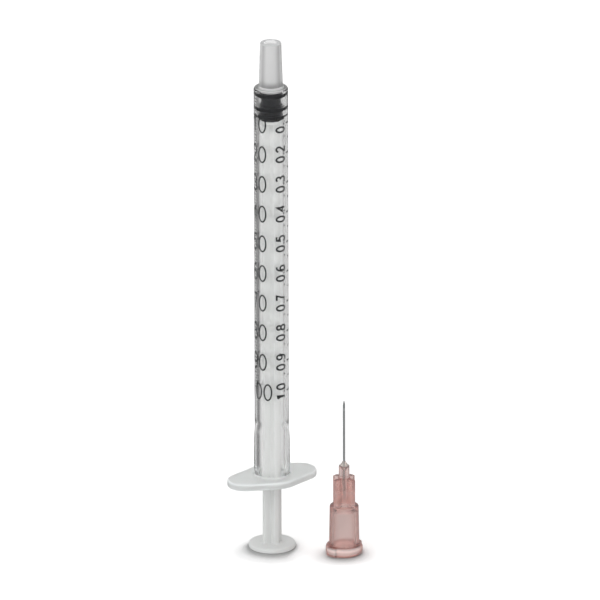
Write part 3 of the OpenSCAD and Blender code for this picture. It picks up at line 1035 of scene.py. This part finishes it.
# Strokes of each character in a square of one by one, with whether the stroke is closed
digitPaths = {
    "0": [(ellipsePath(0, 0, 0.5, 0.5, 0, 360, 40)[:-1], True)],
    "1": [([(-0.3, 0.24), (-0.1, 0.36), (0.08, 0.5), (0.08, -0.5)], False)],
    "2": [
        (ellipsePath(0, 0.22, 0.46, 0.28, 170, -30, 16) + [(0.1, -0.14), (-0.46, -0.5)], False),
        ([(-0.5, -0.5), (0.5, -0.5)], False),
    ],
    "3": [(
        ellipsePath(-0.02, 0.26, 0.42, 0.24, 150, -90, 16)
        + ellipsePath(-0.02, -0.24, 0.48, 0.26, 90, -155, 18), False,
    )],
    "4": [([(0.2, -0.5), (0.2, 0.5), (-0.5, -0.2), (0.5, -0.2)], False)],
    "5": [(
        [(0.4, 0.5), (-0.3, 0.5), (-0.36, 0.02)]
        + ellipsePath(-0.02, -0.17, 0.48, 0.33, 125, -150, 20)[1:], False,
    )],
    "6": [(
        ellipsePath(0.1, -0.06, 0.58, 0.56, 70, 170, 12)
        + ellipsePath(0, -0.2, 0.46, 0.3, 180, -180, 28), False,
    )],
    "7": [([(-0.48, 0.5), (0.48, 0.5), (0.2, 0.1), (0.02, -0.2), (-0.08, -0.5)], False)],
    "8": [
        (ellipsePath(0, 0.26, 0.4, 0.24, 0, 360, 28)[:-1], True),
        (ellipsePath(0, -0.24, 0.48, 0.26, 0, 360, 30)[:-1], True),
    ],
    "9": [(
        ellipsePath(-0.1, 0.06, 0.58, 0.56, 250, 350, 12)
        + ellipsePath(0, 0.2, 0.46, 0.3, 0, -360, 28), False,
    )],
    ".": [([(0, -0.5), (0, -0.33)], False)],
}


def strokeSides(path, closed, width):
    count = len(path)
    leastSpread = 0.5  # keeps the sides of a sharp bend from running far out
    sides = []
    for i, (u, v) in enumerate(path):
        before = path[i - 1] if (i > 0 or closed) else path[i]
        after = path[(i + 1) % count] if (i < count - 1 or closed) else path[i]
        du, dv = after[0] - before[0], after[1] - before[1]
        size = math.hypot(du, dv) or 1.0
        reach = width / 2
        if before != path[i] and after != path[i]:
            # at a bend the sides move apart, so that the stroke keeps its width
            inward = (u - before[0], v - before[1])
            onward = (after[0] - u, after[1] - v)
            turnCos = inward[0] * onward[0] + inward[1] * onward[1]
            turnCos /= (math.hypot(*inward) * math.hypot(*onward)) or 1.0
            reach /= max(math.sqrt(max((1 + turnCos) / 2, 0)), leastSpread)
        acrossU, acrossV = -dv / size, du / size
        left = (u + acrossU * reach, v + acrossV * reach)
        right = (u - acrossU * reach, v - acrossV * reach)
        sides.append((left, right))
    return sides


def addStroke(bm, path, closed, s):
    def onBarrel(point, r):
        a = point[0] / s["inkOuter"]
        return bm.verts.new((r * math.cos(a) * mm, r * math.sin(a) * mm, point[1] * mm))

    outer, inner = s["inkOuter"], s["inkInner"]
    rings = []
    for left, right in strokeSides(path, closed, s["stroke"]):
        corners = ((left, outer), (right, outer), (right, inner), (left, inner))
        rings.append([onBarrel(point, r) for point, r in corners])
    pairs = list(zip(rings, rings[1:]))
    if closed:
        pairs.append((rings[-1], rings[0]))
    for first, second in pairs:
        for i in range(4):
            j = (i + 1) % 4
            bm.faces.new((first[i], first[j], second[j], second[i]))
    if not closed:
        bm.faces.new(rings[0])
        bm.faces.new(reversed(rings[-1]))


def makeNumbers(name, s, labels, turned=False):
    bm = bmesh.new()
    for k, text in enumerate(labels, 1):
        z = s["zeroLineZ"] - s["pitch"] * k
        steps = [s["advance"] * (s["pointAdvance"] if digit == "." else 1) for digit in text]
        for i, digit in enumerate(text):
            offset = sum(steps[:i]) + steps[i] / 2 - sum(steps) / 2
            for path, closed in digitPaths[digit]:
                placed = []
                for u, v in path:
                    u, v = u * s["width"] + offset, v * s["height"]
                    if turned:
                        u, v = -v, u
                    placed.append((u + s["middleAngle"] * s["inkOuter"], v + z))
                addStroke(bm, placed, closed, s)
    piece = finishMesh(name, bm, [looks["printInk"]])
    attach(piece, "barrel")


makeNumbers("scaleNumbers", numberSet, [str(10 * k) for k in range(1, 11)])

# Second scale on the barrel's other side: the same volume in tenths, read with the syringe lying down
sideNumberSet = {
    **numberSet,
    "height": 1.8,
    "width": 1.0,
    "stroke": 0.34,
    "advance": 1.35,
    "middleAngle": viewAngle + math.radians(34),
}
makeNumbers("sideNumbers", sideNumberSet, [f"{k / 10:.1f}" for k in range(1, 11)], True)

sideLinesSet = {
    **linesSet,
    "Lines": 21,
    "Long Every": 2,
    "Middle Every": 1,
    "Pitch": 2.93 * mm,
    "Line Width": 0.26 * mm,
    "Middle": 0.7 * mm,
    "Long": 1.1 * mm,
    "Start Angle": viewAngle + math.radians(80),
}
makeLines("sideLines", sideLinesSet)
print("stage: printed scale")

# Stage: a pale floor that keeps the object's shadow, with a painted contact shadow and painted dark patches,
# one wide soft lamp and a plain pale surround
stageSet = {
    "floorHalf": 1.5,
    "floorDrop": 0.00002,
    # light: what falls on the part; inside: the same through clear plastic;
    # through: what shows in metal and behind plastic; seen: what the camera sees, which is white
    "paper": {"light": 0.8, "inside": 1.2, "through": 0.78, "seen": 1.25},
    "surround": {"light": 0.84, "inside": 2.0, "through": 0.74, "seen": 1.0},
    "wallDepth": 2.5,  # a ray that crossed more surfaces than this is inside clear plastic
    # painted dark patches on the paper, seen only in reflections and through clear plastic
    # from, full, full, to: degrees from straight ahead, right is plus; then the shares taken off near and far
    "darkPatches": ((-74, -58, -36, -24, 0.72, 0.1), (22, 30, 40, 52, 0.22, 0.8)),
    "patchSplit": (0.235, 0.262),
    # the painted contact shadow's two values are the one round the needle's hub and the one elsewhere
    "shadowSamples": 8,
    "shadowSplit": (8.5 * mm, 12 * mm),
    "shadowReach": (0.004, 0.0055),
    "shadowPower": (1.3, 4.6),
    "shadowTilt": 55,
    "shadowLeast": 0.35,
    "lampPower": 8.0,
    "lampSize": 1.8,
    "lampPlace": (-1.15, -0.75, 0.75),
    "lampAim": (0, 0, 0.04),
}


def sideShades(tree, s):
    # painted dark patches on the paper behind the object, seen only in reflections and through clear plastic,
    # which draw the edges of clear plastic
    coords = objectCoords(tree)
    right, up, back = cameraAxes(cameraSet["azimuth"], 0)
    dots = [vectorValue(tree, "DOT_PRODUCT", coords, axis) for axis in (right, -back)]
    turn = mathNode(tree, "ARCTAN2", *dots)
    length = vectorValue(tree, "LENGTH", coords)
    level = 1.0
    for *angles, nearShare, farShare in s["darkPatches"]:
        a, b, c, d = (math.radians(angle) for angle in angles)
        inside = mathNode(tree, "SUBTRACT", mapRange(tree, turn, a, b), mapRange(tree, turn, c, d))
        share = mapRange(tree, length, *s["patchSplit"], nearShare, farShare)
        level = mathNode(tree, "SUBTRACT", level, mathNode(tree, "MULTIPLY", inside, share))
    return level


def levelByRay(tree, levels, sideShade):
    path = addNode(tree, "ShaderNodeLightPath").outputs

    def times(first, second):
        return mathNode(tree, "MULTIPLY", first, second)

    def plus(first, second):
        return mathNode(tree, "ADD", first, second)

    # a ray that has left a matt surface only brings light, also when it crosses clear plastic
    bringsLight = mathNode(tree, "GREATER_THAN", path["Diffuse Depth"], 0.5)
    isLooking = mathNode(tree, "SUBTRACT", 1.0, bringsLight)
    either = mathNode(tree, "MAXIMUM", path["Is Glossy Ray"], path["Is Transmission Ray"])
    through = mathNode(tree, "SUBTRACT", times(sideShade, levels["through"]), levels["light"])
    level = plus(times(times(either, isLooking), through), levels["light"])
    isDeep = mathNode(tree, "GREATER_THAN", path["Transmission Depth"], stageSet["wallDepth"])
    isInside = times(times(path["Is Transmission Ray"], isDeep), bringsLight)
    level = plus(times(isInside, levels["inside"] - levels["light"]), level)
    return plus(times(path["Is Camera Ray"], levels["seen"] - levels["light"]), level)


def paintedContactShadow(tree, s):
    # a painted contact shadow: the paper's colour darkened where it is occluded near something standing on
    # it, for the camera only
    near = addNode(tree, "ShaderNodeAmbientOcclusion", samples=s["shadowSamples"])
    away = vectorValue(tree, "DISTANCE", objectCoords(tree), (needleAt[0] * mm, needleAt[1] * mm, 0))
    tree.links.new(mapRange(tree, away, *s["shadowSplit"], *s["shadowReach"]), near.inputs["Distance"])
    right, up, back = cameraAxes(cameraSet["azimuth"], 0)
    tilt = math.radians(s["shadowTilt"])
    lean = up * math.cos(tilt) - back * math.sin(tilt)
    tree.links.new(joinVector(tree, *lean), near.inputs["Normal"])
    power = mapRange(tree, away, *s["shadowSplit"], *s["shadowPower"])
    openness = mathNode(tree, "POWER", near.outputs["AO"], power)
    shade = mathNode(tree, "SUBTRACT", 1.0, mathNode(tree, "MAXIMUM", openness, s["shadowLeast"]))
    isCamera = addNode(tree, "ShaderNodeLightPath").outputs["Is Camera Ray"]
    return mathNode(tree, "SUBTRACT", 1.0, mathNode(tree, "MULTIPLY", shade, isCamera))


def makeFloor(s):
    mesh = bpy.data.meshes.new("floor")
    h, z = s["floorHalf"], -s["floorDrop"]
    mesh.from_pydata([(-h, -h, z), (h, -h, z), (h, h, z), (-h, h, z)], [], [(0, 1, 2, 3)])
    floor = bpy.data.objects.new("floor", mesh)
    scene.collection.objects.link(floor)
    mat = bpy.data.materials.new("floorPaper")
    mat.use_nodes = True
    tree = mat.node_tree
    tree.nodes.clear()
    out = addNode(tree, "ShaderNodeOutputMaterial")
    diffuse = addNode(tree, "ShaderNodeBsdfDiffuse")
    # the paper's grey by ray, with the painted dark patches for reflections
    grey = levelByRay(tree, s["paper"], sideShades(tree, s))
    # the paper's colour times the painted contact shadow
    tree.links.new(mathNode(tree, "MULTIPLY", grey, paintedContactShadow(tree, s)), diffuse.inputs["Color"])
    tree.links.new(diffuse.outputs[0], out.inputs["Surface"])
    mesh.materials.append(mat)


def makeSurround(s):
    world = bpy.data.worlds.new("paleSurround")
    scene.world = world
    world.use_nodes = True
    background = world.node_tree.nodes["Background"]
    background.inputs["Color"].default_value = (1, 1, 1, 1)
    level = levelByRay(world.node_tree, s["surround"], 1.0)
    world.node_tree.links.new(level, background.inputs["Strength"])


def makeLamp(s):
    lamp = bpy.data.lights.new("softLamp", "AREA")
    lamp.energy = s["lampPower"]
    lamp.size = s["lampSize"]
    holder = bpy.data.objects.new("softLamp", lamp)
    holder.location = s["lampPlace"]
    aim = Vector(s["lampAim"]) - holder.location
    holder.rotation_mode = "QUATERNION"
    holder.rotation_quaternion = aim.to_track_quat("-Z", "Y")
    scene.collection.objects.link(holder)


makeFloor(stageSet)
makeSurround(stageSet)
makeLamp(stageSet)
scene.view_settings.view_transform = "Standard"
print("stage: floor and light")

bpy.context.view_layer.update()
